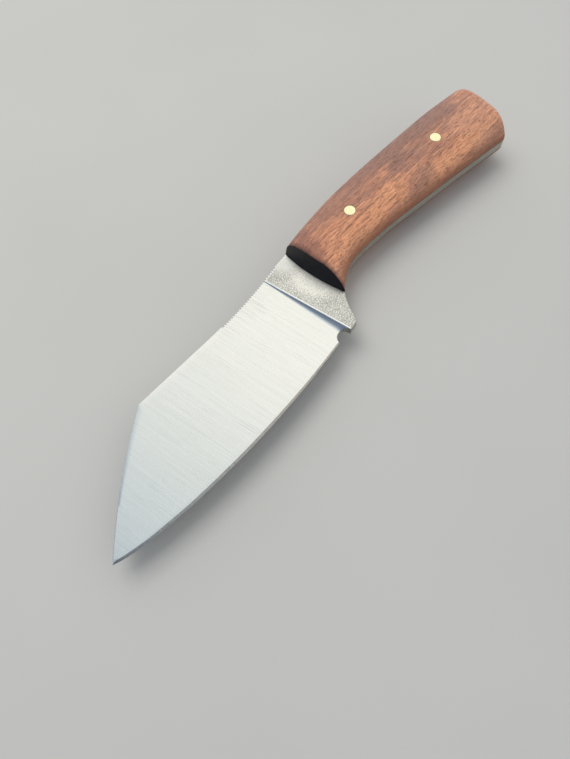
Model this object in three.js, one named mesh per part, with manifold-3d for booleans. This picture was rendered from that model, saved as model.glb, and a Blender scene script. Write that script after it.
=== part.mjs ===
// Full-tang fixed-blade knife, laid flat on its right side.
//
// Design frame: millimetres, +X towards the butt, +Y towards the spine, +Z out of the left face.
// The steel's middle plane is z = 0 and the plunge line stands on x = 0, y = 0.
// The finished group is moved so that its origin is the middle of the bottom of its own box.

import * as THREE from 'three';
import { mergeVertices } from 'three/addons/utils/BufferGeometryUtils.js';
import Module from 'manifold-3d';

const wasm = await Module();
wasm.setup();

// Steel blank
const STEEL_THICKNESS = 3.2;
const HALF_STEEL = STEEL_THICKNESS / 2;
const RICASSO_HEIGHT = 34.93;

// Blade outline
const TIP = [-99.3, 17.9];
const CLIP_CORNER_X = -58;
const CLIP_RADIUS = 208;
const EDGE_POINTS = [
  TIP, [-95.8, 16.05], [-90, 13.8], [-84, 11.95], [-70, 8.4], [-48, 4.4], [-25, 1.9],
];
const HEEL = [-5.55, 1];
const SPINE_BEND_START = 3.8;
const SPINE_BEND_END = -28.9;
const SPINE_BEND_RADIUS = 200;

// Jimping on the spine, whose crests sink a little below the spine line towards the blade
const NOTCH_PITCH = 1.062;
const NOTCH_DEPTH = 0.6;
const NOTCH_FLOOR = [0.44, 0.56];
const NOTCH_COUNT = 27;
const FIRST_NOTCH_X = 6.63;
const JIMPING_DROP = 0.2;

// Choil notch and guard
const CHOIL_CENTRE = [-2.876, 0.25];
const CHOIL_RADIUS = 2.78;
const GUARD_TIP = [3.45, 0.2];
const GUARD_POINTS = [[5.1, 2.35], [6.6, 4.5], [8.6, 7.1], [10.8, 9.2]];

// Flat grind
const SPINE_HALF = 1.45;
const SHOULDER_HALF = 0.27;
const EDGE_HALF = 0.03;
const EDGE_BEVEL_WIDTH = 0.9;
const PLUNGE_LENGTH = 3.4;

// Handle outline, shared by the tang and both scales
const BELLY_START = [10.8, 9.2];
const BELLY_POINTS = [
  [13.2, 10.7], [16.5, 12.1], [20, 13.1], [23.5, 13.4], [28, 13],
  [34, 11.95], [45, 9.45], [60, 5.2], [78, 0], [97.29, -5.94],
];
const BELLY_CORNER = { centre: [97.9, -3.93], radius: 2.1, from: -107, to: -38 };
const BUTT_POINTS = [[101.7, -2.9], [103.3, -0.3], [105.2, 4.4], [107, 9.4], [108.87, 14.5]];
const SPINE_CORNER = { centre: [105.11, 15.87], radius: 4, from: -20, to: 74 };
const BACK_POINTS = [[92, 23.7], [75, 27.2], [55, 30.9], [38, 33.35], [25, 34.2]];
const BACK_END = [12.8, 34.55];
const FRONT_BOW = [9.3, 23.3];

// Scales and the glue under them
const GLUE_THICKNESS = 0.15;
const GLUE_INSET = 0.3;
const SCALE_BASE = HALF_STEEL + GLUE_THICKNESS;
const SCALE_TOP = 9.3;
const SCALE_FRONT_DROP = 0.55;
const LAND_START_X = 22;
const FRONT_LEAN = [0.28, 0.34];
const LEAN_FADE = 0.12;
const BELLY_ROUNDING = 0.38;
const BELLY_EXPONENT = 1.5;
const BACK_ROUNDING = 0.42;
const BACK_EXPONENT = 2;
const BACK_WALL = 0.33;
const BUTT_ROUNDING = 4;
const BUTT_WALL = 0.5;
const THINNEST_EDGE = 0.02;
const STATIONS_ALONG = 30;
const STATIONS_BUTT = 6;
const STATIONS_SIDE = 6;
const FRONT_CROWDING = 1.3;

// Pins
const PIN_RADIUS = 2;
const PIN_CLEARANCE = 0.05;
const PIN_SIDES = 32;
const PIN_PLACES = { front_pin: [35, 22.6], rear_pin: [78.7, 13.6] };

const STEEL = { color: 0xc9c9c5, roughness: 0.32, metalness: 1 };
const WOOD = { color: 0x8f5238, roughness: 0.5, metalness: 0 };
const BRASS = { color: 0xd9c579, roughness: 0.25, metalness: 1 };
const EPOXY = { color: 0x2c2420, roughness: 0.4, metalness: 0 };

const radians = THREE.MathUtils.degToRad;
const vectors = (pairs) => pairs.map(([x, y]) => new THREE.Vector2(x, y));
const steps = (count) => Array.from({ length: count + 1 }, (_, i) => i / count);

// ---------------------------------------------------------------- solids

function toSolid(geometry) {
  const plain = geometry.clone();
  plain.deleteAttribute('normal');
  plain.deleteAttribute('uv');
  const merged = mergeVertices(plain, 1e-5);
  return new wasm.Manifold(new wasm.Mesh({
    numProp: 3,
    vertProperties: new Float32Array(merged.attributes.position.array),
    triVerts: new Uint32Array(merged.index.array),
  }));
}

function toMesh(name, solid, finish) {
  const { vertProperties, triVerts } = solid.getMesh();
  const geometry = new THREE.BufferGeometry();
  geometry.setAttribute('position', new THREE.BufferAttribute(vertProperties, 3));
  geometry.setIndex(new THREE.BufferAttribute(triVerts, 1));
  geometry.computeVertexNormals();
  const mesh = new THREE.Mesh(geometry, new THREE.MeshStandardMaterial(finish));
  mesh.name = name;
  return mesh;
}

function indexed(points, triangles) {
  const geometry = new THREE.BufferGeometry();
  geometry.setAttribute('position', new THREE.Float32BufferAttribute(points.flat(), 3));
  geometry.setIndex(triangles.flat());
  return geometry;
}

// The body's mirror image on the other side of the steel's middle plane.
function mirrored(geometry) {
  const other = geometry.clone().scale(1, 1, -1);
  const index = other.index.array;
  for (let i = 0; i < index.length; i += 3) {
    [index[i], index[i + 1]] = [index[i + 1], index[i]];
  }
  return other;
}

// Two triangles for the four-sided patch a, b, c, d, seen anticlockwise.
const patch = (a, b, c, d) => [[a, b, c], [a, c, d]];

function pinShape(radius, low, high) {
  const cylinder = new THREE.CylinderGeometry(radius, radius, high - low, PIN_SIDES);
  return cylinder.rotateX(Math.PI / 2).translate(0, 0, (low + high) / 2);
}

function pinHoles() {
  return Object.values(PIN_PLACES).map(([x, y]) => {
    const drill = pinShape(PIN_RADIUS + PIN_CLEARANCE, -2 * SCALE_TOP, 2 * SCALE_TOP);
    return toSolid(drill.translate(x, y, 0));
  });
}

const drilled = (solid) => pinHoles().reduce((left, hole) => left.subtract(hole), solid);

// ---------------------------------------------------------------- outlines

function corner(path, { centre, radius, from, to }) {
  return path.absarc(centre[0], centre[1], radius, radians(from), radians(to), false);
}

const middle = ({ from, to }) => (from + to) / 2;

function bellyCurve() {
  const path = new THREE.Path().moveTo(...BELLY_START).splineThru(vectors(BELLY_POINTS));
  return corner(path, { ...BELLY_CORNER, to: middle(BELLY_CORNER) });
}

function buttCurve() {
  const path = new THREE.Path();
  corner(path, { ...BELLY_CORNER, from: middle(BELLY_CORNER) });
  path.splineThru(vectors(BUTT_POINTS));
  return corner(path, { ...SPINE_CORNER, to: middle(SPINE_CORNER) });
}

function backCurve() {
  const path = corner(new THREE.Path(), { ...SPINE_CORNER, from: middle(SPINE_CORNER) });
  return path.splineThru(vectors([...BACK_POINTS, BACK_END]));
}

const frontCurve = new THREE.QuadraticBezierCurve(
  ...vectors([BELLY_START, FRONT_BOW, BACK_END]),
);

// Height of the spine line at a place along the knife, without its notches.
function spineHeight(x) {
  const bend = THREE.MathUtils.clamp(SPINE_BEND_START - x, 0, SPINE_BEND_START - SPINE_BEND_END);
  const straight = Math.max(SPINE_BEND_END - x, 0);
  const fall = Math.max((x - FIRST_NOTCH_X) / (BACK_END[0] - FIRST_NOTCH_X), 0);
  return THREE.MathUtils.lerp(RICASSO_HEIGHT, BACK_END[1], fall)
    + (bend ** 2 / 2 + straight * bend) / SPINE_BEND_RADIUS;
}

const edgeCurve = new THREE.SplineCurve(vectors([...EDGE_POINTS, HEEL]));

// Height of the cutting edge at a place along the blade.
function edgeHeight(x) {
  let [low, high] = [0, 1];
  while (high - low > 1e-4) {
    const half = (low + high) / 2;
    [low, high] = edgeCurve.getPoint(half).x < x ? [half, high] : [low, half];
  }
  return x > HEEL[0] ? HEEL[1] : edgeCurve.getPoint(low).y;
}

// The row of notches, from its end at the scales to the small step up to the plain spine.
function spineNotches() {
  const length = NOTCH_COUNT * NOTCH_PITCH;
  const crest = (x) => spineHeight(x) - JIMPING_DROP * ((FIRST_NOTCH_X - x) / length) ** 2;
  const points = [];
  for (let i = 0; i < NOTCH_COUNT; i += 1) {
    const x = FIRST_NOTCH_X - i * NOTCH_PITCH;
    points.push([x, crest(x)]);
    NOTCH_FLOOR.forEach((t) => points.push([x - t * NOTCH_PITCH, crest(x) - NOTCH_DEPTH]));
  }
  const last = FIRST_NOTCH_X - length;
  return [...points, [last, crest(last)], [last, spineHeight(last)]];
}

// The clip is a shallow arc, bowed outwards, from the spine's corner to the tip.
function clipPoints(count) {
  const start = new THREE.Vector2(CLIP_CORNER_X, spineHeight(CLIP_CORNER_X));
  const end = new THREE.Vector2(...TIP);
  const along = end.clone().sub(start);
  const outwards = new THREE.Vector2(along.y, -along.x).normalize();
  const sagitta = along.length() ** 2 / 8 / CLIP_RADIUS;
  return steps(count).map((t) => start.clone()
    .addScaledVector(along, t)
    .addScaledVector(outwards, 4 * t * (1 - t) * sagitta));
}

function choilPoints(count) {
  const [cx, cy] = CHOIL_CENTRE;
  const from = Math.PI - Math.asin((HEEL[1] - cy) / CHOIL_RADIUS);
  const to = Math.asin((GUARD_TIP[1] - cy) / CHOIL_RADIUS);
  return steps(count).map((t) => {
    const angle = THREE.MathUtils.lerp(from, to, t);
    return [cx + CHOIL_RADIUS * Math.cos(angle), cy + CHOIL_RADIUS * Math.sin(angle)];
  });
}

function blankOutline() {
  const guard = new THREE.SplineCurve(vectors([GUARD_TIP, ...GUARD_POINTS]));
  const points = [
    ...edgeCurve.getPoints(30).slice(0, -1),
    ...vectors(choilPoints(10)),
    ...guard.getPoints(6),
    ...bellyCurve().getSpacedPoints(36),
    ...buttCurve().getSpacedPoints(20),
    ...backCurve().getSpacedPoints(30),
    ...vectors(spineNotches()),
    ...clipPoints(12).slice(0, -1),
  ];
  return points.filter((p, i) => i === 0 || p.distanceTo(points[i - 1]) > 0.02);
}

// ---------------------------------------------------------------- steel

// How far a grind reaches into each half of the steel, from the ricasso (0) to its full depth (1).
const plungeDepth = (t) => 1 - (1 - t) ** 2;

// One side's waste: everything above the ground face, from the edge to past the spine.
function grindWaste() {
  const margin = 2;
  const ceiling = 4;
  const plunge = [0, 0.15, 0.3, 0.5, 0.75, 1].map((t) => ({ t, x: 0 }));
  const blade = steps(24).slice(1).map((t) => ({ t: 1, x: t * (TIP[0] - margin) }));
  const stations = [...plunge, ...blade];
  const rows = (x) => {
    const edge = edgeHeight(x);
    return [
      { y: edge - 2 * margin, z: EDGE_HALF },
      { y: edge, z: EDGE_HALF },
      { y: edge + EDGE_BEVEL_WIDTH, z: SHOULDER_HALF },
      { y: spineHeight(x), z: SPINE_HALF },
      { y: spineHeight(x) + margin, z: SPINE_HALF },
    ];
  };
  const lower = stations.map(({ t, x }) => rows(x).map(({ y, z }) => {
    const depth = HALF_STEEL - z;
    const reach = PLUNGE_LENGTH * (depth / (HALF_STEEL - EDGE_HALF));
    return [x - reach * t, y, HALF_STEEL - depth * plungeDepth(t)];
  }));
  const upper = lower.map((row) => row.map(([x, y]) => [x, y, ceiling]));
  return loftedBlock(lower.reverse(), upper.reverse());
}

// A closed block between two grids of points that lie one over the other. Rows follow each other
// along +X and the points of a row along +Y.
function loftedBlock(lower, upper) {
  const [rows, columns] = [lower.length, lower[0].length];
  const points = [...lower.flat(), ...upper.flat()];
  const low = (i, j) => i * columns + j;
  const high = (i, j) => rows * columns + low(i, j);
  const triangles = [];
  for (let i = 0; i + 1 < rows; i += 1) {
    for (let j = 0; j + 1 < columns; j += 1) {
      triangles.push(...patch(low(i, j), low(i, j + 1), low(i + 1, j + 1), low(i + 1, j)));
      triangles.push(...patch(high(i, j), high(i + 1, j), high(i + 1, j + 1), high(i, j + 1)));
    }
    triangles.push(...patch(low(i, 0), low(i + 1, 0), high(i + 1, 0), high(i, 0)));
    const end = columns - 1;
    triangles.push(...patch(low(i + 1, end), low(i, end), high(i, end), high(i + 1, end)));
  }
  for (let j = 0; j + 1 < columns; j += 1) {
    const end = rows - 1;
    triangles.push(...patch(low(0, j + 1), low(0, j), high(0, j), high(0, j + 1)));
    triangles.push(...patch(low(end, j), low(end, j + 1), high(end, j + 1), high(end, j)));
  }
  return indexed(points, triangles);
}

function bladeAndTang() {
  const outline = new THREE.Shape(blankOutline());
  const blank = new THREE.ExtrudeGeometry(outline, { depth: STEEL_THICKNESS, bevelEnabled: false });
  const waste = grindWaste();
  const ground = toSolid(blank.translate(0, 0, -HALF_STEEL))
    .subtract(toSolid(waste))
    .subtract(toSolid(mirrored(waste)));
  return toMesh('blade_and_tang', drilled(ground), STEEL);
}

// ---------------------------------------------------------------- scales

// A point of the scale's plan, u along the handle from the front and v from belly to back.
function planPoint(curves, u, v) {
  const { belly, back, butt, front } = curves;
  const corners = [
    [belly.getPointAt(0), (1 - u) * (1 - v)],
    [back.getPointAt(1), (1 - u) * v],
    [belly.getPointAt(1), u * (1 - v)],
    [back.getPointAt(0), u * v],
  ];
  const point = new THREE.Vector2()
    .addScaledVector(belly.getPointAt(u), 1 - v)
    .addScaledVector(back.getPointAt(1 - u), v)
    .addScaledVector(front.getPointAt(v), 1 - u)
    .addScaledVector(butt.getPointAt(v), u);
  return corners.reduce((sum, [p, share]) => sum.addScaledVector(p, -share), point);
}

// A rounded edge: 0 at the edge itself, 1 where the rounding has run out.
function rounded(distance, exponent) {
  const inside = 1 - THREE.MathUtils.clamp(distance, 0, 1);
  return (1 - inside ** exponent) ** (1 / exponent);
}

function sectionHeight(v) {
  const belly = rounded(v / BELLY_ROUNDING, BELLY_EXPONENT);
  const back = rounded((1 - v) / BACK_ROUNDING, BACK_EXPONENT);
  return belly * (BACK_WALL + (1 - BACK_WALL) * back);
}

function topAt(x) {
  const front = Math.max((LAND_START_X - x) / (LAND_START_X - BACK_END[0]), 0);
  return SCALE_TOP - SCALE_FRONT_DROP * front ** 2;
}

function scaleTop(curves, u, v) {
  const length = curves.belly.getLength();
  const point = planPoint(curves, u, v);
  const butt = rounded(((1 - u) * length) / BUTT_ROUNDING, BACK_EXPONENT);
  const share = sectionHeight(v) * (BUTT_WALL + (1 - BUTT_WALL) * butt);
  const rise = (topAt(point.x) - SCALE_BASE) * Math.max(share, THINNEST_EDGE);
  const lean = THREE.MathUtils.lerp(...FRONT_LEAN, v) * rise * Math.max(1 - u / LEAN_FADE, 0);
  return [point.x + lean, point.y, SCALE_BASE + rise];
}

// Places across the scale, close together where its two sides are rounded.
function acrossPlaces() {
  const eased = steps(STATIONS_SIDE).map((t) => 1 - Math.cos((t * Math.PI) / 2));
  const belly = eased.map((t) => BELLY_ROUNDING * t);
  return [...belly, ...eased.map((t) => 1 - BACK_ROUNDING * t).reverse()];
}

// Places along the scale, close together where its front leans and where the butt is rounded.
function alongPlaces(length) {
  const rounding = BUTT_ROUNDING / length;
  const straight = steps(STATIONS_ALONG).map((t) => (1 - rounding) * t ** FRONT_CROWDING);
  const end = steps(STATIONS_BUTT).slice(1);
  return [...straight, ...end.map((t) => 1 - rounding * (1 - Math.sin((t * Math.PI) / 2)))];
}

function scaleGeometry() {
  const curves = {
    belly: bellyCurve(), back: backCurve(), butt: buttCurve(), front: frontCurve,
  };
  const along = alongPlaces(curves.belly.getLength());
  const across = acrossPlaces();
  const upper = along.map((u) => across.map((v) => scaleTop(curves, u, v)));
  const lower = along.map((u) => across.map((v) => {
    const { x, y } = planPoint(curves, u, v);
    return [x, y, SCALE_BASE];
  }));
  return loftedBlock(lower, upper);
}

function glueGeometry() {
  const outline = [
    ...bellyCurve().getSpacedPoints(24),
    ...buttCurve().getSpacedPoints(10).slice(1),
    ...backCurve().getSpacedPoints(24).slice(1),
    ...frontCurve.getSpacedPoints(4).slice(1, -1).reverse(),
  ];
  const inset = outline.map((p, i) => {
    const before = outline[(i + outline.length - 1) % outline.length];
    const after = outline[(i + 1) % outline.length];
    const along = after.clone().sub(before).normalize();
    return new THREE.Vector2(p.x - along.y * GLUE_INSET, p.y + along.x * GLUE_INSET);
  });
  const film = { depth: GLUE_THICKNESS, bevelEnabled: false };
  return new THREE.ExtrudeGeometry(new THREE.Shape(inset), film).translate(0, 0, HALF_STEEL);
}

// ---------------------------------------------------------------- assembly

function knife() {
  const parts = new THREE.Group();
  parts.add(bladeAndTang());
  const scale = scaleGeometry();
  parts.add(toMesh('left_scale', drilled(toSolid(scale)), WOOD));
  parts.add(toMesh('right_scale', drilled(toSolid(mirrored(scale))), WOOD));
  const glue = mergeVertices(glueGeometry().deleteAttribute('normal').deleteAttribute('uv'));
  parts.add(toMesh('left_glue_line', drilled(toSolid(glue)), EPOXY));
  parts.add(toMesh('right_glue_line', drilled(toSolid(mirrored(glue))), EPOXY));
  for (const [name, [x, y]] of Object.entries(PIN_PLACES)) {
    const pin = pinShape(PIN_RADIUS, -SCALE_TOP, SCALE_TOP).translate(x, y, 0);
    parts.add(toMesh(name, toSolid(pin), BRASS));
  }
  return parts;
}

const group = knife();
const box = new THREE.Box3().setFromObject(group);
const centre = box.getCenter(new THREE.Vector3());
group.position.set(-centre.x, -centre.y, -box.min.z);

export default group;
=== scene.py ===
"""Full-tang fixed-blade knife, laid flat on its right side on a pale studio floor.

Shapes are worked out in the design frame of the CAD source: millimetres, +X towards the butt,
+Y towards the spine, +Z out of the left face, with the steel's middle plane at z = 0.
"""

import math
from bisect import bisect_right

import bpy
from mathutils import Matrix, Vector


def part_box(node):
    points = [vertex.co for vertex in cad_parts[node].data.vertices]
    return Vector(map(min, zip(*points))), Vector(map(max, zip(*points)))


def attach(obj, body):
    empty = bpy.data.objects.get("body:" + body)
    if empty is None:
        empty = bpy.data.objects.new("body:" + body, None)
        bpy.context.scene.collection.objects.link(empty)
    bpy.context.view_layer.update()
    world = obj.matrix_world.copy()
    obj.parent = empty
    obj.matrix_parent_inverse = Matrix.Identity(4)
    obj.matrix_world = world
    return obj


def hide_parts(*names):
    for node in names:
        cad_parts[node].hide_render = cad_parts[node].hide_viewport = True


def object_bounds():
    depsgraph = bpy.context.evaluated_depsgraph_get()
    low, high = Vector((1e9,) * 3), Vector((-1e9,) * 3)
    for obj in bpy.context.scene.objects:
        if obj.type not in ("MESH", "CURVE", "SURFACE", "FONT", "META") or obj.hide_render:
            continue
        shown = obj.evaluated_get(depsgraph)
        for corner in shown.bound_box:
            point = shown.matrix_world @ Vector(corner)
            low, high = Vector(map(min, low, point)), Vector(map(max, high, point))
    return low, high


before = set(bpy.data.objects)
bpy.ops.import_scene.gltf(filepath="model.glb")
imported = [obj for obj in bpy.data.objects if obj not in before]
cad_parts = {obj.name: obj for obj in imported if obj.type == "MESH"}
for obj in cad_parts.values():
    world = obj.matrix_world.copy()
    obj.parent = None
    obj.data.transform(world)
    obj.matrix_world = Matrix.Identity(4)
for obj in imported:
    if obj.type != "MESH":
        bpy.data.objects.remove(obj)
cad_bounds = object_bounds()

MM = 0.001

# ---------------------------------------------------------------- camera and studio

CAMERA_AIM = Vector((-31.13, -9.85, 10.9)) * MM
CAMERA_DISTANCE = 172.08 * MM
CAMERA_AZIMUTH = math.radians(42.33)
CAMERA_ELEVATION = math.radians(67.0)
CAMERA_ROLL = math.radians(-8.88)
FOCAL_LENGTH = 25.99
SENSOR_WIDTH = 36

FLOOR_SIZE = 8.0
FLOOR_GAP = 0.1 * MM
FLOOR_COLOUR = (0.54, 0.53, 0.515, 1)

# Sky tone by the X part of its direction: from the dark end behind the tip to the bright end.
SKY_TONES = [
    (-1.0, (0.12, 0.16, 0.22)),
    (-0.5, (0.16, 0.21, 0.30)),
    (-0.3, (0.32, 0.38, 0.47)),
    (-0.1, (0.62, 0.71, 0.76)),
    (0.08, (0.74, 0.78, 0.76)),
    (0.2, (0.93, 0.94, 0.90)),
    (0.35, (1.0, 1.0, 0.94)),
    (1.0, (1.0, 0.99, 0.95)),
]
SKY_STRENGTH = 1.0
BACKGROUND_COLOUR = (0.78, 0.77, 0.75, 1)

# One broad soft lamp, high on the spine's side
LAMP_DIRECTION = Vector((0.1, 0.4, 0.9))
LAMP_DISTANCE = 0.9
LAMP_SIZE = 0.6
LAMP_POWER = 4.0
LAMP_COLOUR = (1.0, 0.97, 0.92)

# ---------------------------------------------------------------- steel, mm

HALF_STEEL = 1.6
RICASSO_HEIGHT = 34.93

TIP = (-99.3, 17.9)
CLIP_CORNER_X = -58
CLIP_RADIUS = 208
HEEL = (-5.55, 1)
EDGE_POINTS = [
    TIP, (-95.8, 16.05), (-90, 13.8), (-84, 11.95), (-70, 8.4), (-48, 4.4), (-25, 1.9), HEEL,
]
SPINE_BEND_START = 3.8
SPINE_BEND_END = -28.9
SPINE_BEND_RADIUS = 200

# Notches filed across the spine, whose crests sink a little below the spine line
NOTCH_PITCH = 1.062
NOTCH_DEPTH = 0.6
NOTCH_FLOOR = 0.44
NOTCH_COUNT = 27
FIRST_NOTCH_X = 6.63
JIMPING_DROP = 0.2
JIMPING_STEP = 0.12

CHOIL_CENTRE = (-2.876, 0.25)
CHOIL_RADIUS = 2.78
GUARD_POINTS = [(3.45, 0.2), (5.1, 2.35), (6.6, 4.5), (8.6, 7.1), (10.8, 9.2)]

SPINE_HALF = 1.45
SHOULDER_HALF = 0.27
EDGE_HALF = 0.03
EDGE_BEVEL_WIDTH = 0.9
HEEL_BEVEL_WIDTH = 0.45
BEVEL_FADE = 40
PLUNGE_LENGTH = 3.4
ARRIS_WIDTH = 0.5
ARRIS_DROP = 0.004
BREAK_WIDTH = 0.25
BREAK_DROP = 0.13
TOOTH_BAND = 0.7
TOOTH_DROP = 0.02
ROWS = 18

# ---------------------------------------------------------------- handle, mm

BELLY_START = GUARD_POINTS[-1]
BELLY_POINTS = [
    (13.2, 10.7), (16.5, 12.1), (20, 13.1), (23.5, 13.4), (28, 13),
    (34, 11.95), (45, 9.45), (60, 5.2), (78, 0), (97.29, -5.94),
]
BELLY_CORNER = ((97.9, -3.93), 2.09, -107, -38)
BUTT_POINTS = [(101.7, -2.9), (103.3, -0.3), (105.2, 4.4), (107, 9.4), (108.87, 14.5)]
SPINE_CORNER = ((105.11, 15.87), 4, -20, 74)
BACK_POINTS = [(92, 23.7), (75, 27.2), (55, 30.9), (38, 33.35), (25, 34.2)]
BACK_END = (12.8, 34.55)
FRONT_BOW = (9.3, 23.3)

SCALE_BASE = 1.75
SCALE_TOP = 9.3
SCALE_FRONT_DROP = 0.55
LAND_START_X = 22
FRONT_LEAN = (0.28, 0.34)
LEAN_FADE = 0.12
BELLY_ROUNDING = 0.38
BELLY_EXPONENT = 1.5
BACK_ROUNDING = 0.42
BACK_EXPONENT = 2
BACK_WALL = 0.33
BUTT_ROUNDING = 4
BUTT_WALL = 0.5
THINNEST_EDGE = 0.02
ARRIS_ROUNDING = 0.45

PIN_RADIUS = 2
PIN_HOLE_RADIUS = 2.08
PIN_CHAMFER = 0.07
PIN_SIDES = 96
PIN_PLACES = {"front_pin": (35, 22.6), "rear_pin": (78.7, 13.6)}

# ---------------------------------------------------------------- mesh detail

SMOOTH_ANGLE = math.radians(32)
CURVE_STEPS = 24
EDGE_STEPS = 40
CLIP_STEPS = 44
PLUNGE_STEPS = 15
PLUNGE_HALVINGS = 30
GUARD_STRIDE = 4
CHOIL_STEPS = 10
RICASSO_BACK_STEPS = 8
TANG_STEPS = 60
SCALE_SIDE_STEPS = 20
SCALE_LAND_STEPS = 6
SCALE_LENGTH_STEPS = 110
SCALE_BUTT_STEPS = 16
ARRIS_PARTS = (0, 0.35, 0.7, 1)

# Powers that crowd the lines of points towards the arris and towards the scale's front
PLUNGE_CROWDING = 1.4
FRONT_CROWDING = 1.3


# ---------------------------------------------------------------- outlines


def share(start, end, t):
    return start + (end - start) * t


def clamp(value, low=0.0, high=1.0):
    return min(max(value, low), high)


def steps(count):
    return [i / count for i in range(count + 1)]


def spline(points, count=CURVE_STEPS):
    """A uniform Catmull-Rom curve through the points."""
    last = len(points) - 1
    curve = []
    for i in range(last):
        near = (points[int(clamp(i + k, 0, last))] for k in (-1, 0, 1, 2))
        before, start, end, after = map(Vector, near)
        leave, arrive = (end - before) / 2, (after - start) / 2
        for t in steps(count)[:-1]:
            curve.append(
                (2 * start - 2 * end + leave + arrive) * t**3
                + (3 * end - 3 * start - 2 * leave - arrive) * t**2
                + leave * t
                + start
            )
    return curve + [Vector(points[-1])]


def arc(centre, radius, start, end):
    """Points on a circle between two angles in degrees."""
    angles = [math.radians(share(start, end, t)) for t in steps(CURVE_STEPS)]
    return [Vector((centre[0] + radius * math.cos(a), centre[1] + radius * math.sin(a))) for a in angles]


def bow(start, control, end):
    """A quadratic arc from start to end, drawn towards its control point."""
    a, b, c = Vector(start), Vector(control), Vector(end)
    return [a * (1 - t) ** 2 + b * 2 * t * (1 - t) + c * t**2 for t in steps(CURVE_STEPS)]


def half_corner(corner, first):
    """The first or second half of a rounded corner."""
    centre, radius, start, end = corner
    middle = (start + end) / 2
    return arc(centre, radius, start, middle) if first else arc(centre, radius, middle, end)


class Outline:
    """A plane curve of many short steps, read by a share of its length."""

    def __init__(self, points):
        self.points = points
        self.travelled = [0.0]
        for a, b in zip(points, points[1:]):
            self.travelled.append(self.travelled[-1] + (b - a).length)
        self.length = self.travelled[-1]

    def at(self, part):
        distance = clamp(part) * self.length
        i = int(clamp(bisect_right(self.travelled, distance) - 1, 0, len(self.points) - 2))
        step = self.travelled[i + 1] - self.travelled[i]
        return self.points[i].lerp(self.points[i + 1], (distance - self.travelled[i]) / step if step else 0)


BELLY = Outline(spline([BELLY_START, *BELLY_POINTS]) + half_corner(BELLY_CORNER, True))
BUTT = Outline(
    half_corner(BELLY_CORNER, False)[:-1]
    + spline([half_corner(BELLY_CORNER, False)[-1], *BUTT_POINTS])[:-1]
    + half_corner(SPINE_CORNER, True)
)
BACK = Outline(
    half_corner(SPINE_CORNER, False)[:-1]
    + spline([half_corner(SPINE_CORNER, False)[-1], *BACK_POINTS, BACK_END])
)
FRONT = Outline(bow(BELLY_START, FRONT_BOW, BACK_END))


def handle_point(u, v):
    """A point of the handle's plan, u from its front to its butt and v from belly to back."""
    point = BELLY.at(u) * (1 - v) + BACK.at(1 - u) * v + FRONT.at(v) * (1 - u) + BUTT.at(v) * u
    corners = [
        (BELLY.at(0), (1 - u) * (1 - v)),
        (BACK.at(1), (1 - u) * v),
        (BELLY.at(1), u * (1 - v)),
        (BACK.at(0), u * v),
    ]
    for corner, part in corners:
        point = point - corner * part
    return point


def spine_line(x):
    """Height of the spine, without its notches."""
    bend = clamp(SPINE_BEND_START - x, 0, SPINE_BEND_START - SPINE_BEND_END)
    straight = max(SPINE_BEND_END - x, 0)
    fall = max((x - FIRST_NOTCH_X) / (BACK_END[0] - FIRST_NOTCH_X), 0)
    level = share(RICASSO_HEIGHT, BACK_END[1], fall)
    return level + (bend**2 / 2 + straight * bend) / SPINE_BEND_RADIUS


def notched_spine(x):
    """Height of the spine, with its notches."""
    passed = round((FIRST_NOTCH_X - x) / NOTCH_PITCH, 6)
    if not 0 < passed <= NOTCH_COUNT:
        return spine_line(x)
    from_crest = min(passed % 1, 1 - passed % 1)
    depth = NOTCH_DEPTH * min(from_crest / NOTCH_FLOOR, 1)
    return spine_line(x) - JIMPING_DROP * (passed / NOTCH_COUNT) ** 2 - depth


def clip_points():
    """The shallow arc, bowed outwards, from the spine's corner to the tip."""
    start, end = Vector((CLIP_CORNER_X, spine_line(CLIP_CORNER_X))), Vector(TIP)
    along = end - start
    outwards = Vector((along.y, -along.x)).normalized()
    sagitta = along.length**2 / 8 / CLIP_RADIUS
    return [start + along * t + outwards * 4 * t * (1 - t) * sagitta for t in steps(CLIP_STEPS)]


EDGE = spline(EDGE_POINTS, EDGE_STEPS)
CLIP = list(reversed(clip_points()))
GUARD = spline(GUARD_POINTS)


def height_on(points, x):
    """Height at x of a curve whose points follow each other along +X."""
    i = int(clamp(bisect_right([p.x for p in points], x) - 1, 0, len(points) - 2))
    a, b = points[i], points[i + 1]
    return share(a.y, b.y, clamp((x - a.x) / (b.x - a.x)))


def edge_line(x):
    """Height of the cutting edge, carried on level behind the heel."""
    return height_on(EDGE, x) if x < HEEL[0] else HEEL[1]


def lower_line(x):
    """Height of the steel's lower outline, from the tip to the end of the guard."""
    if x < HEEL[0]:
        return edge_line(x)
    if x > GUARD[0].x:
        return height_on(GUARD, x)
    if x > CHOIL_CENTRE[0] + CHOIL_RADIUS:
        return GUARD[0].y
    return CHOIL_CENTRE[1] + math.sqrt(CHOIL_RADIUS**2 - (x - CHOIL_CENTRE[0]) ** 2)


# ---------------------------------------------------------------- meshes


steel_low, steel_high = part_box("blade_and_tang")
ORIGIN = Vector((
    steel_low.x / MM - TIP[0],
    steel_high.y / MM - spine_line(CLIP_CORNER_X),
    (steel_low.z + steel_high.z) / 2 / MM,
))


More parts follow.
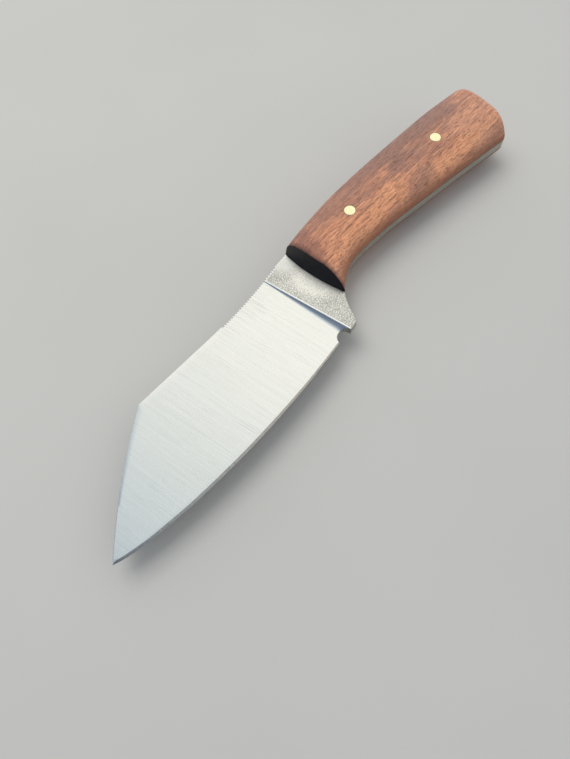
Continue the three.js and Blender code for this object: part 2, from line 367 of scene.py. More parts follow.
class Skin:
    """Faces gathered from points in the design frame; points that coincide become one."""

    def __init__(self):
        self.points, self.faces, self.finishes, self.places = [], [], [], {}

    def corner(self, point):
        key = tuple(round(c, 3) for c in point)
        if key not in self.places:
            self.places[key] = len(self.points)
            self.points.append(tuple((ORIGIN + Vector(point)) * MM))
        return self.places[key]

    def face(self, corners, finish=0):
        ring = list(dict.fromkeys(self.corner(point) for point in corners))
        if len(ring) > 2:
            self.faces.append(ring)
            self.finishes.append(finish)

    def sheet(self, rows, finish=0, flip=False):
        """Four-sided faces between neighbouring rows of points; finish may be a function of i, j."""
        for i in range(len(rows) - 1):
            for j in range(len(rows[i]) - 1):
                corners = [rows[i][j], rows[i + 1][j], rows[i + 1][j + 1], rows[i][j + 1]]
                chosen = finish(i, j) if callable(finish) else finish
                self.face(corners[::-1] if flip else corners, chosen)

    def piece(self, name, materials):
        mesh = bpy.data.meshes.new(name)
        mesh.from_pydata(self.points, [], self.faces)
        for material in materials:
            mesh.materials.append(material)
        mesh.polygons.foreach_set("material_index", self.finishes)
        mesh.shade_smooth()
        mesh.set_sharp_from_angle(angle=SMOOTH_ANGLE)
        mesh.update()
        piece = bpy.data.objects.new(name, mesh)
        bpy.context.scene.collection.objects.link(piece)
        return piece


def turned(profile, place):
    """Rows of points for a profile of (radius, z) pairs turned round an upright axis."""
    x, y = place
    angles = [math.tau * t for t in steps(PIN_SIDES)]
    return [[(x + r * math.cos(a), y + r * math.sin(a), z) for a in angles] for r, z in profile]


def drill(piece):
    """Cuts the pin holes through a piece."""
    cutter = Skin()
    for place in PIN_PLACES.values():
        depth = 2 * SCALE_TOP
        profile = [(0, depth), (PIN_HOLE_RADIUS, depth), (PIN_HOLE_RADIUS, -depth), (0, -depth)]
        cutter.sheet(turned(profile, place))
    tool = cutter.piece("drill", [])
    cut = piece.modifiers.new("pin_holes", "BOOLEAN")
    cut.operation, cut.solver, cut.object = "DIFFERENCE", "EXACT", tool
    drilled = piece.evaluated_get(bpy.context.evaluated_depsgraph_get())
    mesh = bpy.data.meshes.new_from_object(drilled)
    piece.modifiers.clear()
    bpy.data.objects.remove(tool)
    piece.data = mesh
    mesh.set_sharp_from_angle(angle=SMOOTH_ANGLE)
    return piece


def mirrored(rows):
    return [[(x, y, -z) for x, y, z in row] for row in rows]


# ---------------------------------------------------------------- blade and tang


SATIN, EDGE_BEVEL, RICASSO, BROKEN_CORNER, SHADED_SPINE_EDGE, SHADED_BELLY_EDGE = range(6)


def bevel_width(x):
    """Width of the sharpened bevel, which narrows towards the heel."""
    return share(HEEL_BEVEL_WIDTH, EDGE_BEVEL_WIDTH, clamp((HEEL[0] - x) / BEVEL_FADE))


def ground_half(x, y):
    """Half the steel's thickness on the full grind, from the cutting edge to the spine."""
    edge, shoulder, spine = edge_line(x), edge_line(x) + bevel_width(x), spine_line(x)
    if y < shoulder:
        return share(EDGE_HALF, SHOULDER_HALF, clamp((y - edge) / (shoulder - edge)))
    return share(SHOULDER_HALF, SPINE_HALF, clamp((y - shoulder) / (spine - shoulder)))


def plunge_reach(y):
    """How far in front of the ricasso the grind reaches its full depth."""
    return PLUNGE_LENGTH * (HALF_STEEL - ground_half(0, y)) / (HALF_STEEL - EDGE_HALF)


def half_thickness(x, y):
    """Half the steel's thickness anywhere, with the arris of the plunge line just broken."""
    if x > 0:
        return HALF_STEEL - ARRIS_DROP * max(1 - x / ARRIS_WIDTH, 0)
    depth = HALF_STEEL - ground_half(x, y)
    t = clamp(-x / plunge_reach(y))
    return HALF_STEEL - max(depth * (1 - (1 - t) ** 2), min(ARRIS_DROP, depth))


def spine_break(x):
    """Width and drop of the broken corner along the spine; over the notches it covers the teeth."""
    if 0 < FIRST_NOTCH_X - x < NOTCH_COUNT * NOTCH_PITCH:
        return max(notched_spine(x) - spine_line(x) + TOOTH_BAND, TOOTH_DROP), TOOTH_DROP
    return BREAK_WIDTH, BREAK_DROP


def column(x_low, x_high, along=None):
    """One line of points up the left face, from the lower outline to the spine.

    The line is straight in plan, or its x is along(y). The outer point at each end is let down
    by the broken corner, except on the cutting edge.
    """
    low = lower_line(x_low)
    high = notched_spine(x_high) if x_high > CLIP_CORNER_X else height_on(CLIP, x_high)
    height = high - low
    low_break = 0 if x_low < HEEL[0] else min(BREAK_WIDTH, height / 4)
    high_break, high_drop = (min(part, height / 4) for part in spine_break(x_high))
    shoulder = clamp(edge_line(x_low) + bevel_width(x_low), low + low_break, low + height / 2)
    inner = [share(shoulder, high - high_break, t) for t in steps(ROWS)]
    heights = [low, low + low_break, *inner, high]
    places = [(share(x_low, x_high, (y - low) / height) if height else x_low, y) for y in heights]
    if along:
        places = [(along(y), y) for y in heights]
    points = [(x, y, half_thickness(x, y)) for x, y in places]
    for i, drop in ((0, low_break * BREAK_DROP / BREAK_WIDTH), (-1, high_drop)):
        x, y, z = points[i]
        points[i] = (x, y, max(z - drop, EDGE_HALF))
    return points


def plunge_foot(t=1.0):
    """Where a line of the plunge meets the lower outline and the spine."""
    before, after = HEEL[0], 0.0
    for _ in range(PLUNGE_HALVINGS):
        middle = (before + after) / 2
        if middle < -plunge_reach(lower_line(middle)) * t:
            before = middle
        else:
            after = middle
    return after, -plunge_reach(spine_line(0)) * t


def notch_places():
    """Places along the spine that follow the notches, from the last to the first."""
    starts = [FIRST_NOTCH_X - i * NOTCH_PITCH for i in range(NOTCH_COUNT, 0, -1)]
    within = (0, NOTCH_FLOOR / 2, NOTCH_FLOOR, 1 - NOTCH_FLOOR, 1 - NOTCH_FLOOR / 2)
    return [*(start + t * NOTCH_PITCH for start in starts for t in within), FIRST_NOTCH_X]


def blade_columns():
    """Lines of points over the ground face, from the tip to the foot of the plunge."""
    columns = [column(p.x, p.x) for p in CLIP[:-1]]
    notched_from = FIRST_NOTCH_X - NOTCH_COUNT * NOTCH_PITCH - JIMPING_STEP
    plain = math.ceil(notched_from - CLIP_CORNER_X)
    columns += [column(x, x) for x in (share(CLIP_CORNER_X, notched_from, t) for t in steps(plain)[:-1])]
    foot_low, foot_high = plunge_foot()
    for x in [notched_from, *notch_places()]:
        if x < foot_high:
            part = (x - notched_from) / (foot_high - notched_from)
            columns.append(column(share(notched_from, foot_low, part), x))
    return columns


def plunge_columns():
    """Lines of points up the curved run-out of the grind, closer together towards the arris."""
    shares = [(1 - t) ** PLUNGE_CROWDING for t in steps(PLUNGE_STEPS)]
    return [column(*plunge_foot(t), along=lambda y, t=t: -plunge_reach(y) * t) for t in shares]


def ricasso_columns():
    """Lines of points from the arris to the front of the scales."""
    behind = [x for x in notch_places() if x > ARRIS_WIDTH]
    plain = [share(behind[-1], BACK_END[0], t) for t in steps(RICASSO_BACK_STEPS)[1:]]
    high = [ARRIS_WIDTH, *behind, *plain]
    choil = [share(ARRIS_WIDTH, GUARD[0].x, t) for t in steps(CHOIL_STEPS)]
    marks = [*choil, *(p.x for p in GUARD[GUARD_STRIDE::GUARD_STRIDE])]
    low = [marks[round(t * (len(marks) - 1))] for t in steps(len(high) - 1)]
    columns = [column(x_low, x_high) for x_low, x_high in zip(low, high)]
    last = len(columns) - 1
    bent = []
    for i, points in enumerate(columns):
        start, end = points[0][1], points[-1][1]
        row = []
        for x, y, z in points:
            v = (y - start) / (end - start)
            straight = Vector(BELLY_START).lerp(Vector(BACK_END), v)
            shift = (FRONT.at(v) - straight) * (i / last) ** 2
            row.append((x + shift.x, y + shift.y, z))
        bent.append(row)
    return bent


def tang_columns(front):
    """Lines of points over the tang, which the scales cover."""
    start, end = front[0][1], front[-1][1]
    rows = [(y - start) / (end - start) for _, y, _ in front]
    return [[(*handle_point(u, v), HALF_STEEL) for v in rows] for u in steps(TANG_STEPS)[1:]]


def make_steel(materials):
    blade, plunge, ricasso = blade_columns(), plunge_columns(), ricasso_columns()
    tang = tang_columns(ricasso[-1])
    columns = blade + plunge + ricasso + tang
    arris = len(blade) + len(plunge) - 1
    rows = len(columns[0])

    def finish(i, j):
        if j == rows - 2:
            return BROKEN_CORNER
        if j < 2 and columns[i][0][0] < HEEL[0]:
            return EDGE_BEVEL
        if j == 0:
            return SHADED_BELLY_EDGE
        if i == arris:
            return BROKEN_CORNER
        return SATIN if i < arris else RICASSO

    skin = Skin()
    skin.sheet(columns, finish)
    other = mirrored(columns)
    skin.sheet(other, finish, flip=True)
    for j, edge in ((0, SHADED_BELLY_EDGE), (-1, SHADED_SPINE_EDGE)):
        wall = [[a[j], b[j]] for a, b in zip(columns, other)]
        skin.sheet(wall, edge, flip=j == 0)
    skin.sheet([columns[-1], other[-1]], SHADED_SPINE_EDGE)
    return drill(skin.piece("steel_blade_and_tang", materials))


# ---------------------------------------------------------------- scales and pins


def rounded(distance, exponent):
    """A rounded edge: 0 at the edge itself, 1 where the rounding has run out."""
    return (1 - (1 - clamp(distance)) ** exponent) ** (1 / exponent)


def section_height(v):
    belly = rounded(v / BELLY_ROUNDING, BELLY_EXPONENT)
    back = rounded((1 - v) / BACK_ROUNDING, BACK_EXPONENT)
    return belly * (BACK_WALL + (1 - BACK_WALL) * back)


def scale_top(u, v):
    point = handle_point(u, v)
    butt = rounded((1 - u) * BELLY.length / BUTT_ROUNDING, BACK_EXPONENT)
    part = section_height(v) * (BUTT_WALL + (1 - BUTT_WALL) * butt)
    front = max((LAND_START_X - point.x) / (LAND_START_X - BACK_END[0]), 0)
    top = SCALE_TOP - SCALE_FRONT_DROP * front**2
    rise = (top - SCALE_BASE) * max(part, THINNEST_EDGE)
    lean = share(*FRONT_LEAN, v) * rise * max(1 - u / LEAN_FADE, 0)
    return (point.x + lean, point.y, SCALE_BASE + rise)


def across_places():
    """Places across the scale, close together where its two sides are rounded."""
    eased = [1 - math.cos(t * math.pi / 2) for t in steps(SCALE_SIDE_STEPS)]
    land = [share(BELLY_ROUNDING, 1 - BACK_ROUNDING, t) for t in steps(SCALE_LAND_STEPS)[1:-1]]
    return [
        *(BELLY_ROUNDING * t for t in eased),
        *land,
        *(1 - BACK_ROUNDING * t for t in reversed(eased)),
    ]


def along_places():
    """Places along the scale, close together where its front leans and its butt is rounded."""
    rounding = BUTT_ROUNDING / BELLY.length
    straight = [(1 - rounding) * t**FRONT_CROWDING for t in steps(SCALE_LENGTH_STEPS)]
    eased = [1 - math.sin(t * math.pi / 2) for t in steps(SCALE_BUTT_STEPS)]
    return [*straight, *(1 - rounding * t for t in eased[1:])]


WOOD, END_GRAIN = range(2)
BEHIND_FRONT = "behind_front"


def make_scale(name, side, materials):
    """One handle scale; side is 1 for the left and -1 for the right."""
    across = across_places()
    upper = [[scale_top(u, v) for v in across] for u in along_places()]
    lower = [[(*handle_point(u, v), SCALE_BASE) for v in across] for u in along_places()]
    front = [lower[0], *arris_rows(lower[0], upper[0], upper[1])]
    upper[0] = front[-1]
    sides = [[[a[j], b[j]] for a, b in zip(lower, upper)] for j in (0, -1)]
    if side < 0:
        upper, lower, front = mirrored(upper), mirrored(lower), mirrored(front)
        sides = [mirrored(wall) for wall in sides]
    skin = Skin()
    skin.sheet(upper, WOOD, flip=side < 0)
    skin.sheet(lower, WOOD, flip=side > 0)
    skin.sheet(front, lambda i, _: END_GRAIN if i < 2 else WOOD, flip=side < 0)
    skin.sheet([lower[-1], upper[-1]], WOOD, flip=side > 0)
    for wall, flip in zip(sides, (side > 0, side < 0)):
        skin.sheet(wall, WOOD, flip=flip)
    scale = drill(skin.piece(name, materials))
    mark_front(scale)
    return scale


def mark_front(scale):
    """Stores how far each point lies behind the scale's leaning front face, in millimetres."""
    front = [Vector((p.y, p.x)) for p in FRONT.points]
    distances = []
    for vertex in scale.data.vertices:
        x, y, z = vertex.co / MM - ORIGIN
        v = clamp((y - BELLY_START[1]) / (BACK_END[1] - BELLY_START[1]))
        lean = share(*FRONT_LEAN, v) * (abs(z) - SCALE_BASE)
        distances.append(x - height_on(front, y) - lean)
    scale.data.attributes.new(BEHIND_FRONT, "FLOAT", "POINT").data.foreach_set("value", distances)


def arris_rows(low, top, behind):
    """Rows that turn the scale's front face over into its top with a small round edge."""
    rows = []
    for t in ARRIS_PARTS:
        row = []
        for foot, crest, back in zip(low, top, behind):
            foot, crest, back = Vector(foot), Vector(crest), Vector(back)
            reach = min(ARRIS_ROUNDING, (crest - foot).length / 3, (back - crest).length / 2)
            start = crest + (foot - crest).normalized() * reach
            end = crest + (back - crest).normalized() * reach
            row.append(tuple(start * (1 - t) ** 2 + crest * 2 * t * (1 - t) + end * t**2))
        rows.append(row)
    return rows


def make_pin(name, material):
    rim = SCALE_TOP - PIN_CHAMFER
    inner = PIN_RADIUS - PIN_CHAMFER
    half = [(0, SCALE_TOP), (inner, SCALE_TOP), (PIN_RADIUS, rim)]
    skin = Skin()
    skin.sheet(turned([*half, *((r, -z) for r, z in reversed(half))], PIN_PLACES[name]))
    return skin.piece(f"brass_{name}", [material])


# ---------------------------------------------------------------- materials

# A zone of colour fades between these shares of its radii; a ragged one moves them by up to this
ZONE_FADE = (0.55, 1.25)
ZONE_RAGGEDNESS = 0.45

FLOOR_MOTTLE = 0.97


class Recipe:
    """A material's node tree around one Principled shader, with coordinates in millimetres."""

    def __init__(self, name):
        self.material = bpy.data.materials.new(name)
        self.material.use_nodes = True
        self.tree = self.material.node_tree
        self.shader = self.tree.nodes["Principled BSDF"]

    def node(self, kind, inputs=(), **settings):
        node = self.tree.nodes.new(f"ShaderNode{kind}")
        for key, value in settings.items():
            setattr(node, key, value)
        for key, value in dict(inputs).items():
            self.feed(node.inputs[key], value)
        return node

    def feed(self, socket, value):
        if isinstance(value, bpy.types.NodeSocket):
            self.tree.links.new(value, socket)
        else:
            socket.default_value = value

    def set(self, **values):
        for key, value in values.items():
            self.feed(self.shader.inputs[key.replace("_", " ")], value)

    def grain(self, scale, angle=0.0):
        """Object coordinates turned about Z, with a number of cycles per millimetre on each axis."""
        place = self.node("TexCoord").outputs["Object"]
        turn = self.node("VectorRotate", {"Vector": place, "Angle": angle}, rotation_type="Z_AXIS")
        sizes = tuple(s / MM for s in scale)
        return self.node("Mapping", {"Vector": turn.outputs[0], "Scale": sizes}).outputs[0]

    def height(self):
        """Height in the part's frame, in millimetres."""
        place = self.node("SeparateXYZ", {"Vector": self.node("TexCoord").outputs["Object"]})
        return self.math("DIVIDE", place.outputs["Z"], MM)

    def noise(self, vector, detail=2.0, roughness=0.5, distortion=0.0):
        inputs = {
            "Vector": vector, "Scale": 1.0, "Detail": detail,
            "Roughness": roughness, "Distortion": distortion,
        }
        return self.node("TexNoise", inputs).outputs["Fac"]

    def ramp(self, value, low, high, start=0.0, end=1.0):
        inputs = {"Value": value, "From Min": low, "From Max": high, "To Min": start, "To Max": end}
        return self.node("MapRange", inputs, interpolation_type="SMOOTHSTEP").outputs["Result"]

    def math(self, operation, a, b=0.0):
        node = self.node("Math", operation=operation)
        self.feed(node.inputs[0], a)
        self.feed(node.inputs[1], b)
        return node.outputs[0]

    def mix(self, factor, a, b, blend="MIX"):
        node = self.node("Mix", data_type="RGBA", blend_type=blend)
        self.feed(node.inputs["Factor"], factor)
        self.feed(node.inputs[6], a)
        self.feed(node.inputs[7], b)
        return node.outputs[2]

    def zone(self, centre, radii, angle=0.0, ragged=None):
        """1 inside an ellipse laid over the design frame, fading to 0 outside; ragged is a noise."""
        place = self.node("TexCoord").outputs["Object"]
        start = (ORIGIN + Vector((*centre, 0))) * MM
        moved = self.node("VectorMath", operation="SUBTRACT")
        self.feed(moved.inputs[0], place)
        self.feed(moved.inputs[1], start)
        inputs = {"Vector": moved.outputs[0], "Angle": angle}
        turn = self.node("VectorRotate", inputs, rotation_type="Z_AXIS")
        sized = self.node("VectorMath", operation="MULTIPLY")
        self.feed(sized.inputs[0], turn.outputs[0])
        self.feed(sized.inputs[1], (1 / radii[0] / MM, 1 / radii[1] / MM, 0))
        length = self.node("VectorMath", operation="LENGTH")
        self.feed(length.inputs[0], sized.outputs[0])
        distance = length.outputs["Value"]
        if ragged is not None:
            shift = self.ramp(ragged, 0.3, 0.7, -ZONE_RAGGEDNESS, ZONE_RAGGEDNESS)
            distance = self.math("ADD", distance, shift)
        return self.ramp(distance, *ZONE_FADE, 1, 0)

    def bump(self, height, distance, normal=None):
        """A bump whose distance is in millimetres."""
        inputs = {"Height": height, "Strength": 1.0, "Distance": distance * MM}
        if normal is not None:
            inputs["Normal"] = normal
        return self.node("Bump", inputs).outputs["Normal"]


def colour(red, green, blue):
    return (red, green, blue, 1)


def satin_steel():
    """Fine straight lines from edge to spine, with darker stray scratches, more beside the jimping."""
    recipe = Recipe("satin_steel")
    fine = recipe.noise(recipe.grain((3.6, 0.05, 1)), 2)
    lanes = recipe.noise(recipe.grain((0.9, 0.03, 0.3), math.radians(1)), 2)
    scratch = recipe.noise(recipe.grain((2.8, 0.07, 1), math.radians(-2)), 1)
    beside_jimping = recipe.zone((-9, 34), (15, 7))
    filed = recipe.math("MULTIPLY", recipe.ramp(scratch, 0.5, 0.6), beside_jimping)
    stray = recipe.math("ADD", recipe.ramp(scratch, 0.66, 0.74), filed)
    tone = recipe.mix(recipe.ramp(lanes, 0.3, 0.7), colour(0.905, 0.90, 0.87), colour(0.945, 0.935, 0.905))
    tone = recipe.mix(recipe.math("MULTIPLY", stray, 0.4), tone, colour(0.70, 0.70, 0.68))
    recipe.set(
        Base_Color=tone, Metallic=1.0,
        Roughness=recipe.ramp(fine, 0.3, 0.7, 0.25, 0.31),
        Normal=recipe.bump(fine, 0.0025),
    )
    return recipe.material


def edge_bevel_steel():
    recipe = Recipe("sharpened_bevel")
    fine = recipe.noise(recipe.grain((4, 0.4, 4)), 2)
    tone = recipe.mix(recipe.ramp(fine, 0.3, 0.7), colour(0.36, 0.34, 0.32), colour(0.50, 0.475, 0.45))
    recipe.set(Base_Color=tone, Metallic=1.0, Roughness=0.22, Normal=recipe.bump(fine, 0.004))
    return recipe.material


def ricasso_steel():
    """Tumbled steel: fine dark speckle and painted glints that fade out towards the spine, with a broad
    painted highlight in the middle.
    """
    recipe = Recipe("tumbled_steel")
    clouds = recipe.noise(recipe.grain((0.16, 0.12, 0.2)), 3)
    speckle = recipe.noise(recipe.grain((2.6, 2.2, 2)), 3, 0.7)
    painted_glints = recipe.noise(recipe.grain((2.4, 2.8, 1.2)), 2)
    smooth = recipe.zone((11, 33.5), (6, 5.5))
    # Painted highlight: a broad bright patch across the middle of the ricasso, with less dark speckle
    # there.
    bright = recipe.zone((8.5, 20), (6, 9), math.radians(-10))
    rough = recipe.math("SUBTRACT", 1.0, recipe.math("MULTIPLY", smooth, 0.8))
    tone = recipe.mix(recipe.ramp(clouds, 0.35, 0.65), colour(0.54, 0.53, 0.50), colour(0.67, 0.655, 0.615))
    tone = recipe.mix(bright, tone, colour(1.0, 0.965, 0.90))
    tone = recipe.mix(smooth, tone, colour(0.82, 0.82, 0.79))
    dull = recipe.math("SUBTRACT", rough, recipe.math("MULTIPLY", bright, 0.45))
    dark = recipe.math("MULTIPLY", recipe.ramp(speckle, 0.38, 0.55, 0.85, 0), dull)
    tone = recipe.mix(dark, tone, colour(0.38, 0.37, 0.345))
    # Painted glints: small near-white specks laid into the colour.
    painted_glint = recipe.math("MULTIPLY", recipe.ramp(painted_glints, 0.52, 0.62, 0, 0.9), rough)
    tone = recipe.mix(painted_glint, tone, colour(1.0, 0.985, 0.95))
    recipe.set(
        Base_Color=tone, Metallic=1.0,
        Roughness=recipe.ramp(speckle, 0.3, 0.7, 0.42, 0.28),
        Normal=recipe.bump(recipe.math("MULTIPLY", speckle, rough), 0.03),
    )
    return recipe.material


def edge_steel(name, dark, light):
    recipe = Recipe(name)
    fine = recipe.noise(recipe.grain((0.25, 3, 6)), 3)
    tone = recipe.mix(recipe.ramp(fine, 0.3, 0.7), dark, light)
    recipe.set(
        Base_Color=tone, Metallic=1.0,
        Roughness=recipe.ramp(fine, 0.3, 0.7, 0.30, 0.42),
        Normal=recipe.bump(fine, 0.006),
    )
    return recipe.material


GRAIN_ANGLE = math.radians(8)

# Broad areas of the wood: centre and half sizes in the design frame, tone and strength
LIGHT_ZONES = [
    ((26, 19), (16, 9), colour(0.66, 0.28, 0.15), 0.8),
    ((51, 17), (8, 5), colour(0.66, 0.28, 0.15), 0.8),
    ((38, 14.8), (24, 3.8), colour(0.88, 0.375, 0.19), 0.9),
    ((83, 3.8), (25, 3.8), colour(0.88, 0.375, 0.19), 0.9),
    ((95, 8), (14, 12), colour(0.62, 0.29, 0.18), 0.7),
]
DARK_ZONES = [
    ((68, 24.5), (27, 6.5), colour(0.25, 0.13, 0.105), 0.8),
    ((43, 26), (21, 5.5), colour(0.32, 0.155, 0.115), 0.65),
    ((92, 19), (9, 4), colour(0.29, 0.15, 0.12), 0.6),
    ((71, 17), (19, 5.5), colour(0.31, 0.155, 0.115), 0.6),
    ((61, 9), (7, 4), colour(0.36, 0.17, 0.125), 0.5),
    ((16, 28), (4, 9), colour(0.27, 0.11, 0.085), 0.6),
]


def wood_colour(recipe):
    """Reddish-brown wood with broad zones, streaks, fibres and short open pores along the grain, painted
    shade low on the sides, and darkening towards the front face.
    """
    lie = recipe.noise(recipe.grain((0.05, 0.22, 0.2), GRAIN_ANGLE), 4, 0.6, 0.4)
    streaks = recipe.noise(recipe.grain((0.08, 1.0, 0.7), GRAIN_ANGLE), 3, 0.6, 0.3)
    fibres = recipe.noise(recipe.grain((0.3, 2.8, 2.4), GRAIN_ANGLE), 4, 0.65)
    pores = recipe.noise(recipe.grain((0.55, 3.4, 3.2), GRAIN_ANGLE + math.radians(2)), 2, 0.5)

    def lay(base, zones):
        for centre, radii, tone, strength in zones:
            zone = recipe.zone(centre, radii, GRAIN_ANGLE, lie)
            base = recipe.mix(recipe.math("MULTIPLY", zone, strength), base, tone)
        return base

    base = recipe.mix(recipe.ramp(lie, 0.36, 0.64), colour(0.38, 0.175, 0.115), colour(0.58, 0.25, 0.145))
    base = lay(base, LIGHT_ZONES)
    base = recipe.mix(recipe.ramp(streaks, 0.5, 0.66, 0.0, 0.65), base, colour(0.86, 0.41, 0.22))
    base = recipe.mix(recipe.ramp(streaks, 0.32, 0.47, 0.6, 0.0), base, colour(0.20, 0.085, 0.06))
    base = lay(base, DARK_ZONES)
    base = recipe.mix(recipe.ramp(fibres, 0.34, 0.54, 0.6, 0), base, colour(0.17, 0.07, 0.05))
    pore = recipe.ramp(pores, 0.57, 0.68)
    base = recipe.mix(recipe.math("MULTIPLY", pore, 0.6), base, colour(0.075, 0.035, 0.03))
    # Painted shade: a darker, redder tone low on the scale's sides, over the belly's round-over.
    low = recipe.math("ABSOLUTE", recipe.math("SUBTRACT", recipe.height(), ORIGIN.z))
    base = recipe.mix(recipe.ramp(low, 2.5, 7, 0.8, 0), base, colour(0.26, 0.085, 0.035))
    # Darker in a band about 2 mm behind the front face, and near black over the rounded arris, carrying on
    # the front face's painted shade.
    behind = recipe.node("Attribute", attribute_name=BEHIND_FRONT).outputs["Fac"]
    behind = recipe.math("ADD", behind, recipe.ramp(fibres, 0.3, 0.7, -0.2, 0.2))
    base = recipe.mix(recipe.ramp(behind, 0.3, 2.4, 0.75, 0), base, colour(0.11, 0.035, 0.025))
    base = recipe.mix(recipe.ramp(behind, -0.2, 0.7, 0.9, 0), base, colour(0.015, 0.007, 0.006))
    return base, fibres, pore


def oiled_wood():
    recipe = Recipe("oiled_wood")
    base, fibres, pore = wood_colour(recipe)
    height = recipe.math("SUBTRACT", recipe.math("MULTIPLY", fibres, 0.5), pore)
    recipe.set(
        Base_Color=base,
        Roughness=recipe.ramp(pore, 0, 1, 0.42, 0.7),
        Normal=recipe.bump(height, 0.025),
    )
    return recipe.material


# The scales' front faces: the end grain's own darker tone and painted shade together, coloured near black.
def end_grain_painted_shade():
    recipe = Recipe("end_grain_painted_shade")
    rings = recipe.noise(recipe.grain((1, 0.5, 1.2)), 3)
    dots = recipe.noise(recipe.grain((3, 3.5, 3.5)), 2)
    dark, light = colour(0.006, 0.005, 0.005), colour(0.016, 0.009, 0.008)
    tone = recipe.mix(recipe.ramp(rings, 0.35, 0.65), dark, light)
    recipe.set(
        Base_Color=tone,
        Roughness=recipe.ramp(dots, 0.3, 0.7, 0.35, 0.5),
        Normal=recipe.bump(dots, 0.006),
    )
    return recipe.material


def brass():
    recipe = Recipe("polished_brass")
    fine = recipe.noise(recipe.grain((6, 0.5, 1), math.radians(35)), 3)
    tone = recipe.mix(recipe.ramp(fine, 0.3, 0.7), colour(0.99, 0.95, 0.58), colour(1.0, 0.98, 0.64))
    recipe.set(Base_Color=tone, Metallic=1.0, Roughness=0.26, Normal=recipe.bump(fine, 0.002))
    return recipe.material


def epoxy():
    recipe = Recipe("dark_epoxy")
    cloud = recipe.noise(recipe.grain((0.6, 0.6, 0.6)), 2)
    tone = recipe.mix(recipe.ramp(cloud, 0.3, 0.7), colour(0.022, 0.015, 0.012), colour(0.045, 0.03, 0.022))
    recipe.set(Base_Color=tone, Roughness=0.4, Normal=recipe.bump(cloud, 0.01))
    return recipe.material


def floor_material():
    recipe = Recipe("pale_floor")
    cloud = recipe.noise(recipe.grain((0.01, 0.01, 0.01)), 2)
    dark = tuple(FLOOR_MOTTLE * c for c in FLOOR_COLOUR[:3])
    tone = recipe.mix(recipe.ramp(cloud, 0.3, 0.7), colour(*dark), FLOOR_COLOUR)
    recipe.set(Base_Color=tone, Roughness=0.85)
    return recipe.material


# ---------------------------------------------------------------- studio


def make_camera():
    data = bpy.data.cameras.new("camera")
    data.lens, data.sensor_width, data.clip_start = FOCAL_LENGTH, SENSOR_WIDTH, MM
    camera = bpy.data.objects.new("camera", data)
    bpy.context.scene.collection.objects.link(camera)
    level = math.cos(CAMERA_ELEVATION)
    forward = Vector((
        level * math.cos(CAMERA_AZIMUTH),
        level * math.sin(CAMERA_AZIMUTH),
        -math.sin(CAMERA_ELEVATION),
    ))
    camera.location = CAMERA_AIM - forward * CAMERA_DISTANCE
    aimed = forward.to_track_quat("-Z", "Y").to_matrix()
    camera.rotation_mode = "QUATERNION"
    camera.rotation_quaternion = (aimed @ Matrix.Rotation(CAMERA_ROLL, 3, "Z")).to_quaternion()
    bpy.context.scene.camera = camera


def make_floor():
    half = FLOOR_SIZE / 2
    mesh = bpy.data.meshes.new("floor")
    corners = [(-half, -half), (half, -half), (half, half), (-half, half)]
    mesh.from_pydata([(x, y, cad_bounds[0].z - FLOOR_GAP) for x, y in corners], [], [(0, 1, 2, 3)])
    mesh.materials.append(floor_material())
    floor = bpy.data.objects.new("floor", mesh)
    bpy.context.scene.collection.objects.link(floor)


def make_lamp():
    data = bpy.data.lights.new("soft_lamp", "AREA")
    data.size, data.energy, data.color = LAMP_SIZE, LAMP_POWER, LAMP_COLOUR
    lamp = bpy.data.objects.new("soft_lamp", data)
    bpy.context.scene.collection.objects.link(lamp)
    direction = LAMP_DIRECTION.normalized()
    lamp.location = direction * LAMP_DISTANCE
    lamp.rotation_euler = (-direction).to_track_quat("-Z", "Y").to_euler()
    lamp.visible_glossy = False


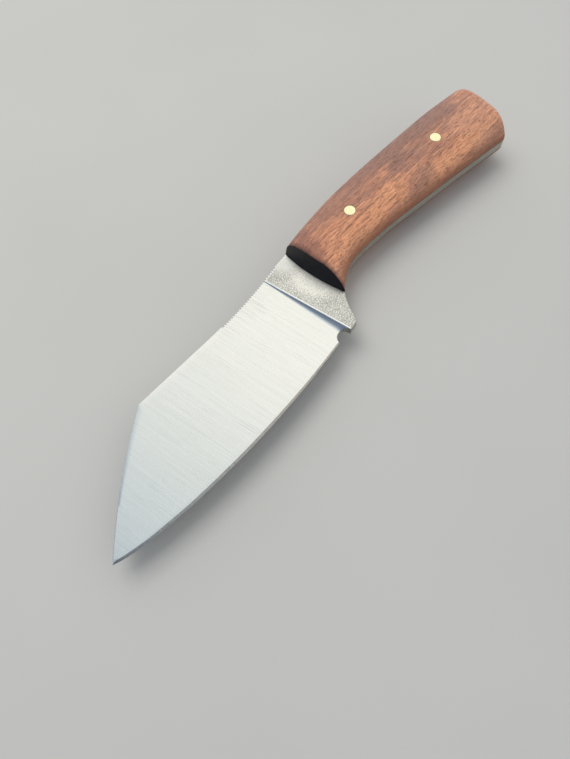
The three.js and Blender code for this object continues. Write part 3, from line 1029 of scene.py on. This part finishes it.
def make_sky():
    """A soft overcast sky, bright towards +X and falling to a dark blue behind the tip."""
    world = bpy.data.worlds.new("studio_sky")
    world.use_nodes = True
    bpy.context.scene.world = world
    tree = world.node_tree
    place = tree.nodes.new("ShaderNodeTexCoord")
    split = tree.nodes.new("ShaderNodeSeparateXYZ")
    spread = tree.nodes.new("ShaderNodeMapRange")
    tones = tree.nodes.new("ShaderNodeValToRGB")
    sky = tree.nodes["Background"]
    seen = tree.nodes.new("ShaderNodeBackground")
    ray = tree.nodes.new("ShaderNodeLightPath")
    pick = tree.nodes.new("ShaderNodeMixShader")
    spread.inputs["From Min"].default_value = -1
    while len(tones.color_ramp.elements) < len(SKY_TONES):
        tones.color_ramp.elements.new(0.5)
    for element, (toward, tone) in zip(tones.color_ramp.elements, SKY_TONES):
        element.position = (toward + 1) / 2
        element.color = colour(*tone)
    sky.inputs["Strength"].default_value = SKY_STRENGTH
    seen.inputs["Color"].default_value = BACKGROUND_COLOUR
    links = [
        (place.outputs["Generated"], split.inputs[0]),
        (split.outputs["X"], spread.inputs["Value"]),
        (spread.outputs["Result"], tones.inputs["Fac"]),
        (tones.outputs["Color"], sky.inputs["Color"]),
        (ray.outputs["Is Camera Ray"], pick.inputs[0]),
        (sky.outputs[0], pick.inputs[1]),
        (seen.outputs[0], pick.inputs[2]),
        (pick.outputs[0], tree.nodes["World Output"].inputs["Surface"]),
    ]
    for source, target in links:
        tree.links.new(source, target)


# ---------------------------------------------------------------- assembly


def add(piece, node):
    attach(piece, "root")
    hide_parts(node)


def build():
    # The same edge steel three times, lighter or darker: the copies on the spine's and belly's walls are
    # darkened as painted shade, the belly's most.
    corner = edge_steel("broken_corner", colour(0.90, 0.90, 0.88), colour(0.98, 0.98, 0.96))
    shaded_spine_edge = edge_steel("shaded_spine_edge", colour(0.42, 0.41, 0.38), colour(0.66, 0.65, 0.61))
    shaded_belly_edge = edge_steel("shaded_belly_edge", colour(0.30, 0.29, 0.25), colour(0.50, 0.49, 0.43))
    finishes = [satin_steel(), edge_bevel_steel(), ricasso_steel(), corner, shaded_spine_edge, shaded_belly_edge]
    add(make_steel(finishes), "blade_and_tang")
    wood = [oiled_wood(), end_grain_painted_shade()]
    for node, side in (("left_scale", 1), ("right_scale", -1)):
        add(make_scale(f"wood_{node}", side, wood), node)
    metal = brass()
    for node in PIN_PLACES:
        add(make_pin(node, metal), node)
    glue = epoxy()
    for node in ("left_glue_line", "right_glue_line"):
        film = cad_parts[node]
        film.data.materials.clear()
        film.data.materials.append(glue)


bpy.context.scene.view_settings.view_transform = "Standard"
make_camera()
make_sky()
make_lamp()
make_floor()
build()
